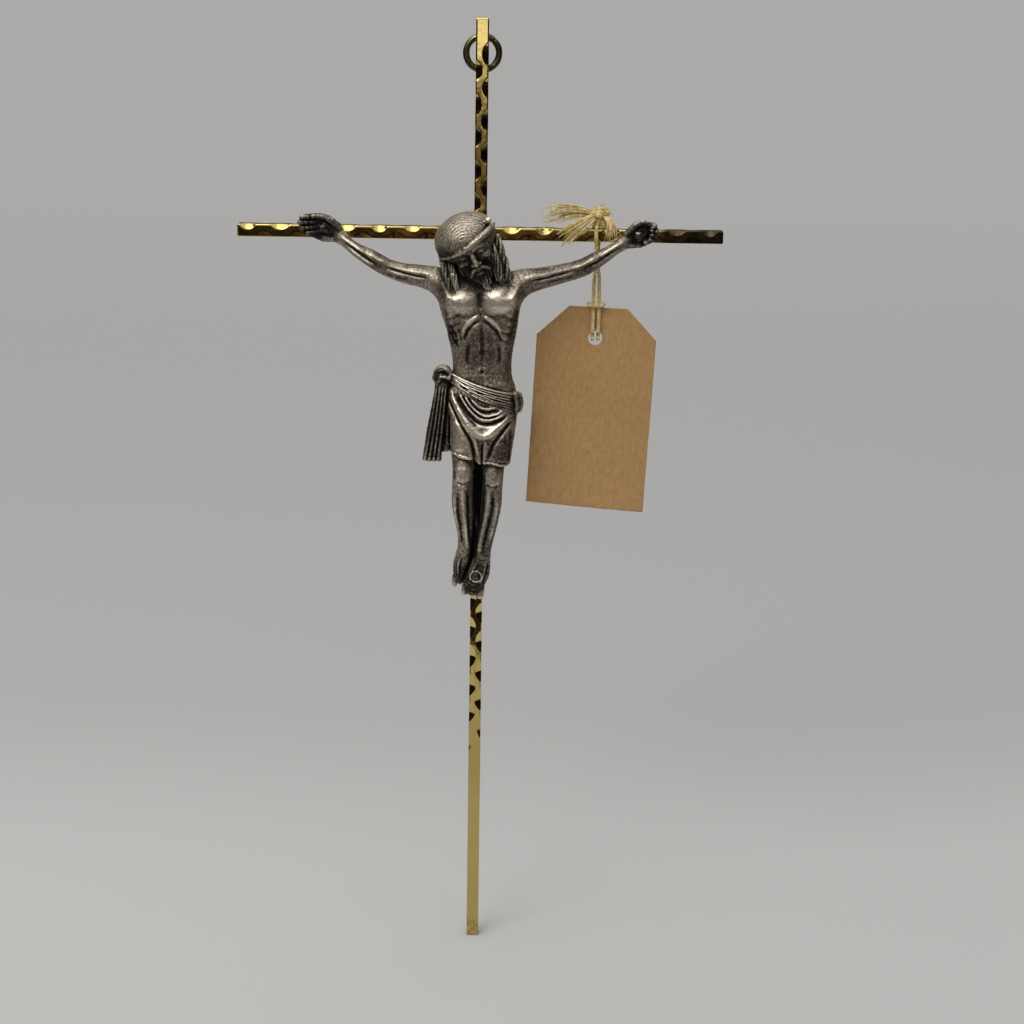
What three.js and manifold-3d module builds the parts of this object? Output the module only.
// Wall and altar cross: a hammered square-bar cross with a cast figure nailed to it, a hanging ring on
// the back, and a card tag tied to the right arm with twine.
// Millimetres. +Z is up, +X is the viewer's right, the viewer looks along +Y.
// Origin: the centre of the crossing, on the back face of the upright, which lies on the wall.
import * as THREE from "three";
import { mergeVertices } from "three/addons/utils/BufferGeometryUtils.js";
import Module from "manifold-3d";

const wasm = await Module();
wasm.setup();

// ---- driving dimensions ----
const BAR = 4.3; // side of the square bar
const HEIGHT = 332.5;
const WIDTH = 165;
const ABOVE_CROSSING = 71.2; // crossing centre to the top end
const CLEARANCE = 0.1; // between a nail and its hole, and between parts that rest on each other
const FRONT = -BAR; // the bars' front plane
const MID = -BAR / 2; // the bars' centre plane
const TOP = ABOVE_CROSSING;
const FOOT = ABOVE_CROSSING - HEIGHT;

const HAMMER_PITCH = 10.8; // from one hammer mark to the next on the same edge
const HAMMER_DEPTH = 1.7; // how far a mark cuts back the edge
const EDGE_BREAK = 0.25; // the small chamfer left between the marks
const PLAIN_END = 6.5; // unhammered length at each end
const PLAIN_CROSSING = 5; // and on each side of the crossing
const RINGS_PER_PITCH = 4;

const NAIL = { shank: 0.6, head: 1.25, dome: 0.7, tail: 1.0, tailThickness: 0.4 };
const FOOT_NAIL_HEAD = 1.5;
const HAND_NAILS = { left: [-53.1, 1.6], right: [53.5, 0.8] };
const FEET_NAIL = [0, -118.8];
const HAND_THICKNESS = 3.2; // where a nail goes through
const FEET_THICKNESS = 8;

const RING = { wire: 1.1, radius: 5.5, axisZ: 65.2, axisY: 1.45 };
const STAPLE = { wire: 0.6, radius: 2.05, sunk: 2.6 };

const TAG = { width: 41.3, length: 70.2, thick: 0.5, shoulder: 10.6, hole: 2.5, holeBelowTop: 10.7 };
const TAG_SKEW = 1.6; // the foot of the card is cut slightly out of square, longer on the right
const TAG_HOLE_OFF = 0.5; // the hole is punched a little left of the card's middle
const TAG_X = 40; // where the twine hangs from the arm
const TAG_HOLE_Z = -35.4;
const TAG_LEAN = THREE.MathUtils.degToRad(-2.6);
const TWINE = 0.65; // radius of a strand
const TWINE_WRAP = 3.9; // from the bar's axis to the middle of the strand that goes round it
const STRAND_SPREAD = 0.98; // each strand's distance from the middle, on the card
const KNOT = { wide: 3.3, deep: 2.9, high: 2.6, right: 0.6 }; // half sizes, and how far it sits to the right

const MATERIALS = {
  brass: new THREE.MeshStandardMaterial({ color: 0xc9a24a, roughness: 0.16, metalness: 1 }),
  pewter: new THREE.MeshStandardMaterial({ color: 0x8a8178, roughness: 0.42, metalness: 1 }),
  nail: new THREE.MeshStandardMaterial({ color: 0x3c3a38, roughness: 0.4, metalness: 1 }),
  ring: new THREE.MeshStandardMaterial({ color: 0x5e5a3a, roughness: 0.35, metalness: 1 }),
  card: new THREE.MeshStandardMaterial({ color: 0xa8814f, roughness: 0.95, metalness: 0 }),
  twine: new THREE.MeshStandardMaterial({ color: 0xd0b878, roughness: 0.9, metalness: 0 }),
};

// ---- solids from geometry ----
const part = new THREE.Group();

function add(name, geometry, material) {
  const mesh = new THREE.Mesh(geometry, material);
  mesh.name = name;
  part.add(mesh);
  return mesh;
}

function solid(geometry) {
  const bare = geometry.clone();
  for (const name of ["normal", "uv"]) bare.deleteAttribute(name);
  const merged = mergeVertices(bare, 1e-4);
  return new wasm.Manifold(
    new wasm.Mesh({
      numProp: 3,
      vertProperties: new Float32Array(merged.attributes.position.array),
      triVerts: new Uint32Array(merged.index.array),
    }),
  );
}

function geometryOf(manifold) {
  const mesh = manifold.getMesh();
  const geometry = new THREE.BufferGeometry();
  geometry.setAttribute("position", new THREE.BufferAttribute(mesh.vertProperties, 3));
  geometry.setIndex(new THREE.BufferAttribute(mesh.triVerts, 1));
  geometry.computeVertexNormals();
  return geometry;
}

function box(centre, size) {
  return solid(new THREE.BoxGeometry(...size).translate(...centre));
}

// A cylinder along Y, for nail holes.
function drill(x, z, radius, from, to) {
  const cylinder = new THREE.CylinderGeometry(radius, radius, to - from, 16);
  return solid(cylinder.translate(0, (from + to) / 2, 0).translate(x, 0, z));
}

// A closed skin over rings of equal length, with a point at each end. Rings turn anticlockwise seen
// from the last one.
function loft(rings, firstTip, lastTip) {
  const sides = rings[0].length;
  const points = [...rings.flat(), firstTip, lastTip];
  const first = points.length - 2;
  const index = [];
  for (let s = 0; s < sides; s++) {
    const next = (s + 1) % sides;
    for (let r = 0; r < rings.length - 1; r++) {
      const [a, b, c, d] = [r * sides + s, r * sides + next, (r + 1) * sides + next, (r + 1) * sides + s];
      index.push(a, b, c, a, c, d);
    }
    const end = (rings.length - 1) * sides;
    index.push(first, next, s, first + 1, end + s, end + next);
  }
  const geometry = new THREE.BufferGeometry().setFromPoints(points);
  geometry.setIndex(index);
  geometry.computeVertexNormals();
  return geometry;
}

// ---- the hammered bars ----
// How far the edge is cut back at a place along the bar. Marks on neighbouring edges alternate.
function hammerMark(along, offset) {
  const wave = Math.cos((2 * Math.PI * along) / HAMMER_PITCH + offset);
  return EDGE_BREAK + HAMMER_DEPTH * Math.max(0, wave);
}

// A square bar along Z with its crossing at z = 0, hammered on its four edges.
function hammeredBar(low, high, alternate) {
  const half = BAR / 2;
  const corners = [
    [1, 1],
    [-1, 1],
    [-1, -1],
    [1, -1],
  ];
  const plain = (z) => Math.abs(z) < PLAIN_CROSSING || z < low + PLAIN_END || z > high - PLAIN_END;
  const steps = Math.round(((high - low) / HAMMER_PITCH) * RINGS_PER_PITCH);
  const rings = [];
  for (let i = 0; i <= steps; i++) {
    const z = low + ((high - low) * i) / steps;
    const ring = [];
    corners.forEach(([x, y], corner) => {
      const offset = ((corner + alternate) % 2) * Math.PI;
      const cut = plain(z) ? EDGE_BREAK : hammerMark(z, offset);
      const onX = new THREE.Vector3(x * half, y * (half - cut), z);
      const onY = new THREE.Vector3(x * (half - cut), y * half, z);
      ring.push(...(x * y > 0 ? [onX, onY] : [onY, onX]));
    });
    rings.push(ring);
  }
  return loft(rings, new THREE.Vector3(0, 0, low), new THREE.Vector3(0, 0, high));
}

// The bars cross in a half lap: the upright keeps its back half there and the crossbar its front half.
function bars() {
  const lap = BAR + 2 * CLEARANCE;
  const half = BAR / 2;
  let upright = solid(hammeredBar(FOOT, TOP, 0).translate(0, MID, 0));
  upright = upright.subtract(box([0, FRONT + half / 2 - 0.5, 0], [BAR + 2, half + 1 + CLEARANCE, lap]));
  upright = upright.subtract(drill(...FEET_NAIL, NAIL.shank + CLEARANCE, FRONT - 2, 2));
  for (const side of [1, -1]) {
    const z = RING.axisZ + side * STAPLE.radius;
    upright = upright.subtract(drill(0, z, STAPLE.wire + CLEARANCE, -STAPLE.sunk - CLEARANCE, 2));
  }
  const along = hammeredBar(-WIDTH / 2, WIDTH / 2, 1).rotateY(Math.PI / 2).translate(0, MID, 0);
  let crossbar = solid(along);
  crossbar = crossbar.subtract(box([0, -half / 2 + 0.5, 0], [lap, half + 1 - CLEARANCE, BAR + 2]));
  for (const nail of Object.values(HAND_NAILS))
    crossbar = crossbar.subtract(drill(...nail, NAIL.shank + CLEARANCE, FRONT - 2, 2));
  add("upright_bar", geometryOf(upright), MATERIALS.brass);
  add("crossbar", geometryOf(crossbar), MATERIALS.brass);
}

// ---- nails: a domed head on the figure, a shank through the bar, a tail peened over on the back ----
function nail(name, [x, z], headRadius, thickness) {
  const under = FRONT - CLEARANCE - thickness - CLEARANCE; // plane that the head sits on
  const outline = [[0, under - NAIL.dome]];
  const arcSteps = 4;
  for (let i = 1; i <= arcSteps; i++) {
    const angle = (Math.PI / 2) * (i / arcSteps);
    outline.push([headRadius * Math.sin(angle), under - NAIL.dome * Math.cos(angle)]);
  }
  outline.push([NAIL.shank, under], [NAIL.shank, CLEARANCE], [NAIL.tail, CLEARANCE]);
  outline.push([NAIL.tail * 0.7, CLEARANCE + NAIL.tailThickness], [0, CLEARANCE + NAIL.tailThickness]);
  const profile = outline.map(([radius, y]) => new THREE.Vector2(radius, y));
  add(name, new THREE.LatheGeometry(profile, 16).translate(x, 0, z), MATERIALS.nail);
}

// ---- the cast figure ----
// A limb is a closed, round-ended tube through stations [x, y, z, width, depth]. Its width is measured
// across it in the wall's plane and its depth towards the viewer.
function limb(stations, sides = 10, perStation = 2) {
  const centre = new THREE.CatmullRomCurve3(stations.map(([x, y, z]) => new THREE.Vector3(x, y, z)));
  const size = new THREE.CatmullRomCurve3(stations.map(([, , , w, d]) => new THREE.Vector3(w, d, 0)));
  const steps = (stations.length - 1) * perStation;
  const forward = new THREE.Vector3(0, -1, 0);
  const endScales = [0.55, 0.86]; // the two rings that round off each end
  const rings = [];
  const ringAt = (t, push, scale) => {
    const tangent = centre.getTangent(t);
    const side = new THREE.Vector3().crossVectors(tangent, forward).normalize();
    const out = new THREE.Vector3().crossVectors(tangent, side).normalize();
    const middle = centre.getPoint(t).addScaledVector(tangent, push);
    const { x: width, y: depth } = size.getPoint(t);
    const ring = [];
    for (let s = 0; s < sides; s++) {
      const angle = (2 * Math.PI * s) / sides;
      const point = middle.clone().addScaledVector(side, (scale * width * Math.cos(angle)) / 2);
      ring.push(point.addScaledVector(out, (scale * depth * Math.sin(angle)) / 2));
    }
    return ring;
  };
  const bulge = (t) => Math.min(size.getPoint(t).x, size.getPoint(t).y) * 0.35;
  const tip = (t, way) => centre.getPoint(t).addScaledVector(centre.getTangent(t), way * bulge(t));
  rings.push(ringAt(0, -bulge(0) * 0.85, endScales[0]), ringAt(0, -bulge(0) * 0.5, endScales[1]));
  for (let i = 0; i <= steps; i++) rings.push(ringAt(i / steps, 0, 1));
  rings.push(ringAt(1, bulge(1) * 0.5, endScales[1]), ringAt(1, bulge(1) * 0.85, endScales[0]));
  return solid(loft(rings, tip(0, -1), tip(1, 1)));
}

function torso() {
  return [
    limb(
      [
        [0.3, -13, -15.5, 22, 10.5],
        [0.3, -13.4, -20, 29.5, 13],
        [0.6, -13.4, -27, 27, 13.8],
        [1.0, -12.8, -35, 23.6, 12.6],
        [1.3, -12.2, -45, 20.4, 11],
        [1.0, -12.2, -55, 22.5, 12.5],
      ],
      16,
    ),
    limb(
      [
        [0.2, -15, -16, 9, 8.5],
        [-0.8, -17.5, -10, 8.4, 8],
        [-2, -18, -5, 8, 8],
      ],
      10,
    ),
  ];
}

// The head leans to the viewer's left and is bowed forward.
function head() {
  const skull = limb(
    [
      [-5.8, -16.5, 5, 14, 13],
      [-4.6, -17.2, 0, 20.5, 18.5],
      [-3.2, -18.2, -4.5, 19, 17.5],
    ],
    14,
    3,
  );
  const face = limb(
    [
      [-3.2, -19.5, -3, 13, 13],
      [-1.2, -21, -8.5, 12.6, 12.4],
      [1.2, -21.6, -13.8, 8, 8],
    ],
    12,
    2,
  );
  const leftLock = limb([
    [-10.6, -16.5, -4, 6, 8],
    [-9.4, -17, -11.5, 5, 7],
    [-7.6, -17.5, -17, 3.6, 4.5],
  ]);
  const rightLock = limb([
    [4.6, -16, -1.5, 5.5, 8],
    [7.4, -15.8, -9, 5.2, 6],
    [10, -15, -16, 3.6, 4.5],
  ]);
  return [skull, face, leftLock, rightLock];
}

// Stations of an arm from shoulder to wrist, then the palm, and fingers fanned from the palm's end.
const ARMS = {
  left: {
    arm: [
      [-11.5, -12.8, -17, 9, 10],
      [-19, -11.6, -13.8, 7.9, 7.8],
      [-25, -10.8, -12.5, 6.6, 6.6],
      [-31, -10, -10.4, 6, 6],
      [-36.5, -9.2, -7.8, 5.9, 5.8],
      [-42.5, -8, -4.6, 4.6, 4.5],
      [-47.5, -7, -1.3, 3.9, 3.4],
    ],
    palm: [
      [-49, -6.2, -0.6, 4.8, 3],
      [-52.5, -6.1, 1.4, 8, HAND_THICKNESS],
      [-55.6, -6.2, 2.4, 7.6, 3.1],
    ],
    thumb: [
      [-50.5, -7.2, 3.2, 2.6, 2.4],
      [-54, -7.8, 5.8, 2.3, 2.2],
      [-57.6, -8, 6.3, 1.9, 1.9],
    ],
    knuckle: [-56, -6.2, 2.4],
    across: [0.22, 0, 1.85],
    reach: [-5.2, -0.6, 0.9],
    curl: -2.4,
  },
  right: {
    arm: [
      [12, -12.8, -17, 9, 10],
      [19.5, -11.7, -14, 7.9, 7.8],
      [27, -10.9, -12.3, 6.7, 6.6],
      [34.5, -10.2, -10.4, 5.9, 6],
      [39.5, -9.5, -7.9, 5.9, 5.4],
      [45, -8.3, -4.4, 4.4, 4.2],
      [49.4, -7, -1.8, 3.9, 3.4],
    ],
    palm: [
      [50.4, -6.2, -1.2, 4.8, 3],
      [53.4, -6.1, 0.6, 7.8, HAND_THICKNESS],
      [56, -6.2, 1.5, 7.4, 3.1],
    ],
    thumb: [
      [51.8, -7.2, 2.6, 2.6, 2.4],
      [54.6, -7.8, 5, 2.3, 2.2],
      [57.6, -8, 5.2, 1.9, 1.9],
    ],
    knuckle: [56.4, -6.2, 1.5],
    across: [-0.2, 0, 1.75],
    reach: [4.3, -0.6, 0.5],
    curl: -2.6,
  },
};

function armAndHand({ arm, palm, thumb, knuckle, across, reach, curl }) {
  const solids = [limb(arm), limb(palm), limb(thumb, 8, 1)];
  const fingerLengths = [0.92, 1, 0.95, 0.78];
  fingerLengths.forEach((share, finger) => {
    const place = 1.5 - finger; // fingers spread evenly about the knuckle line's middle
    const base = knuckle.map((v, axis) => v + across[axis] * place);
    const tip = base.map((v, axis) => v + reach[axis] * share);
    const bend = base.map((v, axis) => (v + tip[axis]) / 2);
    const curledTip = [tip[0], tip[1] + curl, tip[2]];
    solids.push(limb([[...base, 2.1, 2.2], [...bend, 1.9, 2], [...curledTip, 1.6, 1.6]], 8, 1));
  });
  return solids;
}

// The cloth: a flared skirt round the hips, a rolled edge slung across it, a knot and a hanging end.
function loincloth() {
  const skirt = limb(
    [
      [0.9, -12.6, -55, 24, 14],
      [1, -13.2, -62, 25.4, 16],
      [0.7, -13.6, -70, 23.6, 16.4],
      [0.5, -13.8, -76.5, 21.6, 15.6],
    ],
    14,
  );
  const roll = limb([
    [-11.6, -14, -49, 4.4, 4],
    [-4, -19, -51.6, 4.6, 4],
    [5, -18.8, -55.4, 4.8, 4],
    [12.6, -13.2, -57, 6.6, 4.6],
  ]);
  const knot = limb([
    [-12.8, -14.6, -46.4, 5.6, 6],
    [-11.6, -14.6, -49.6, 5, 6],
  ]);
  const hangingEnd = limb(
    [
      [-12.4, -13.4, -50, 5, 5],
      [-14.6, -13.2, -63, 5.8, 4.6],
      [-16, -13, -75.8, 6.6, 4.6],
    ],
    10,
  );
  return [skirt, roll, knot, hangingEnd];
}

// Knees forward, shins drawn back to the bar, the viewer's right foot over the left one.
function legs() {
  const left = limb([
    [-5, -14.5, -70, 9.5, 11],
    [-4.7, -16, -81, 8.2, 9.4],
    [-4.5, -14.6, -90, 8, 9],
    [-3.9, -12.8, -98, 6.9, 7.8],
    [-3.6, -10.8, -106, 5.2, 6],
    [-3.5, -9.6, -112, 5, 5.8],
  ]);
  const right = limb([
    [5.4, -14.5, -70, 9.5, 11],
    [5.1, -16.2, -82, 8.2, 9.4],
    [4.8, -15, -91, 8, 9],
    [3.9, -13.6, -98.5, 6.9, 7.8],
    [2.7, -12.2, -106, 5.2, 6],
    [2, -11.4, -112, 5, 5.8],
  ]);
  const leftFoot = limb([
    [-3.9, -8.4, -110.5, 6.4, 6],
    [-4.1, -7.6, -118, 7, 5],
    [-3.1, -7.2, -126.2, 5.4, 3.6],
  ]);
  const rightFoot = limb([
    [1.9, -10.8, -111, 6.2, 6],
    [0.9, -10.2, -119, 6.8, 5],
    [-0.2, -9.6, -127.2, 6.4, 3.4],
  ]);
  return [left, right, leftFoot, rightFoot];
}

function corpus() {
  const pieces = [...torso(), ...head(), ...armAndHand(ARMS.left), ...armAndHand(ARMS.right)];
  pieces.push(...loincloth(), ...legs());
  let cast = pieces.reduce((sum, piece) => sum.add(piece));
  const back = FRONT - CLEARANCE; // the casting's hands and feet lie flat on the bars
  cast = cast.subtract(box([0, back + 10, -60], [200, 20, 200]));
  for (const hand of Object.values(HAND_NAILS)) {
    const seat = back - HAND_THICKNESS;
    cast = cast.subtract(drill(...hand, NAIL.shank + CLEARANCE, seat - 3, 0));
    cast = cast.subtract(drill(...hand, NAIL.head + CLEARANCE, seat - 3, seat));
  }
  const seat = back - FEET_THICKNESS;
  cast = cast.subtract(drill(...FEET_NAIL, NAIL.shank + CLEARANCE, seat - 3, 0));
  cast = cast.subtract(drill(...FEET_NAIL, FOOT_NAIL_HEAD + CLEARANCE, seat - 3, seat));
  add("corpus", geometryOf(cast), MATERIALS.pewter);
}

// ---- hanging ring and the staple that holds it ----
function circle(radius, sides) {
  const shape = new THREE.Shape();
  for (let s = 0; s < sides; s++) {
    const angle = (2 * Math.PI * s) / sides;
    const place = [radius * Math.cos(angle), radius * Math.sin(angle)];
    if (s) shape.lineTo(...place);
    else shape.moveTo(...place);
  }
  return shape;
}

function tube(curve, radius, sides, steps) {
  const shape = circle(radius, sides);
  return new THREE.ExtrudeGeometry(shape, { extrudePath: curve, steps, bevelEnabled: false });
}

function hangingHardware() {
  const ring = new THREE.TorusGeometry(RING.radius, RING.wire, 10, 32);
  ring.rotateX(Math.PI / 2).translate(0, RING.axisY, RING.axisZ - RING.radius);
  add("hanging_ring", ring, MATERIALS.ring);

  const route = new THREE.CurvePath();
  const bendY = RING.axisY;
  const point = (y, z) => new THREE.Vector3(0, y, RING.axisZ + z);
  const bend = [];
  const bendPoints = 12;
  for (let i = 0; i <= bendPoints; i++) {
    const angle = Math.PI / 2 - (Math.PI * i) / bendPoints;
    bend.push(point(bendY + STAPLE.radius * Math.cos(angle), STAPLE.radius * Math.sin(angle)));
  }
  const line = [point(-STAPLE.sunk, STAPLE.radius), ...bend, point(-STAPLE.sunk, -STAPLE.radius)];
  for (let i = 1; i < line.length; i++) route.add(new THREE.LineCurve3(line[i - 1], line[i]));
  add("ring_staple", tube(route, STAPLE.wire, 8, 24), MATERIALS.ring);
}

// ---- card tag and the twine it hangs by ----
function cardTag() {
  const { width, length, shoulder, hole, holeBelowTop, thick } = TAG;
  const outline = new THREE.Shape();
  const left = TAG_HOLE_OFF - width / 2;
  const right = TAG_HOLE_OFF + width / 2;
  const foot = holeBelowTop - length;
  outline.moveTo(left, foot);
  outline.lineTo(right, foot - TAG_SKEW);
  outline.lineTo(right, holeBelowTop - shoulder);
  outline.lineTo(right - shoulder, holeBelowTop);
  outline.lineTo(left + shoulder, holeBelowTop);
  outline.lineTo(left, holeBelowTop - shoulder);
  outline.closePath();
  const opening = new THREE.Path();
  opening.absarc(0, 0, hole, 0, 2 * Math.PI, true);
  outline.holes.push(opening);
  const card = new THREE.ExtrudeGeometry(outline, { depth: thick, bevelEnabled: false, curveSegments: 12 });
  card.translate(0, 0, -thick / 2).rotateX(Math.PI / 2).rotateY(-TAG_LEAN);
  add("paper_tag", card.translate(TAG_X, MID, TAG_HOLE_Z), MATERIALS.card);
}

// The loop comes up from the hole in front of the card, goes over the arm and back down beside itself.
// Its two strands cross once on the way. Side is -1 for the strand in front of the bar.
const CARD_FRONT = MID - TAG.thick / 2 - TWINE - 0.3;
const strandRoute = (side) => [
  [TAG_X + side * 0.6, MID + side * 3.5, -2.4],
  [TAG_X + side * 0.3, MID + side * 2.6, -5.6],
  [TAG_X - side * 0.1, MID + side * 1.7, -9.5],
  [TAG_X - side * 0.7, MID + side * 1.0, -14],
  [TAG_X - side * 0.95, CARD_FRONT + 0.5, -18.5],
  [TAG_X - side * STRAND_SPREAD, CARD_FRONT, -22.5],
  [TAG_X - side * STRAND_SPREAD, CARD_FRONT, -26],
  [TAG_X - side * STRAND_SPREAD, CARD_FRONT, -30],
  [TAG_X - side * STRAND_SPREAD, CARD_FRONT, -33.4],
];

function loopRoute() {
  const over = [];
  for (let degrees = 0; degrees <= 180; degrees += 30) {
    const angle = THREE.MathUtils.degToRad(degrees);
    const [forward, up] = [Math.cos(angle), Math.sin(angle)];
    over.push([TAG_X + 0.7 * forward, MID + TWINE_WRAP * forward, TWINE_WRAP * up]);
  }
  return [...strandRoute(1).reverse(), ...over, ...strandRoute(-1)];
}

function twine() {
  const curveThrough = (points) =>
    new THREE.CatmullRomCurve3(points.map((point) => new THREE.Vector3(...point)));
  add("twine_loop", tube(curveThrough(loopRoute()), TWINE, 8, 48), MATERIALS.twine);

  // The hitch is the loop's closed end: through the hole, up behind the card, and round both strands
  // above the card's top edge.
  const behind = MID + TAG.thick / 2 + TWINE + 0.3;
  const edge = TAG_HOLE_Z + TAG.holeBelowTop + TWINE + 0.5;
  const ahead = CARD_FRONT - 2 * TWINE - 0.3;
  const x = STRAND_SPREAD;
  const hitch = [
    [-x, CARD_FRONT + 0.1, -35],
    [-x, MID, -35.9],
    [-x, behind, -34.6],
    [-x - 0.2, behind + 0.1, -30],
    [-x - 1.1, behind - 0.2, edge - 0.7],
    [-x - 1.75, MID - 0.6, edge],
    [-x - 1.2, ahead + 0.4, edge - 0.1],
    [0, ahead - 0.1, edge - 0.2],
  ];
  const otherHalf = hitch.slice(0, -1).reverse().map(([hx, hy, hz]) => [-hx, hy, hz]);
  const loop = [...hitch, ...otherHalf].map(([hx, hy, hz]) => [TAG_X + hx, hy, hz]);
  add("twine_hitch", tube(curveThrough(loop), TWINE, 8, 44), MATERIALS.twine);

  // The knot sits on top of the loop.
  const knot = new THREE.SphereGeometry(1, 14, 10).scale(KNOT.wide, KNOT.deep, KNOT.high);
  const knotZ = TWINE_WRAP + TWINE + CLEARANCE + KNOT.high;
  add("twine_knot", knot.translate(TAG_X + KNOT.right, MID, knotZ), MATERIALS.twine);

  // Three bunches of frayed ends, starting clear of the knot.
  const bunches = {
    twine_fray_left: [[36.6, -2.6, 7.6, 1.8, 1.6], [30, -4.2, 9, 3, 1.8], [21.6, -5.2, 9.2, 4.2, 1.4]],
    twine_fray_low: [[37.2, -5.6, 6.4, 1.8, 1.4], [32.4, -7.2, 2.6, 2.8, 1.4], [27.2, -7.4, -2, 3.8, 1.2]],
    twine_fray_right: [[43.2, -6.2, 5.2, 2, 1.4], [44.4, -7, 2.2, 3, 1.4], [44.9, -6.8, -0.6, 3.2, 1.2]],
  };
  for (const [name, stations] of Object.entries(bunches))
    add(name, geometryOf(limb(stations, 10)), MATERIALS.twine);
}

bars();
corpus();
nail("hand_nail_left", HAND_NAILS.left, NAIL.head, HAND_THICKNESS);
nail("hand_nail_right", HAND_NAILS.right, NAIL.head, HAND_THICKNESS);
nail("feet_nail", FEET_NAIL, FOOT_NAIL_HEAD, FEET_THICKNESS);
hangingHardware();
cardTag();
twine();

export default part;
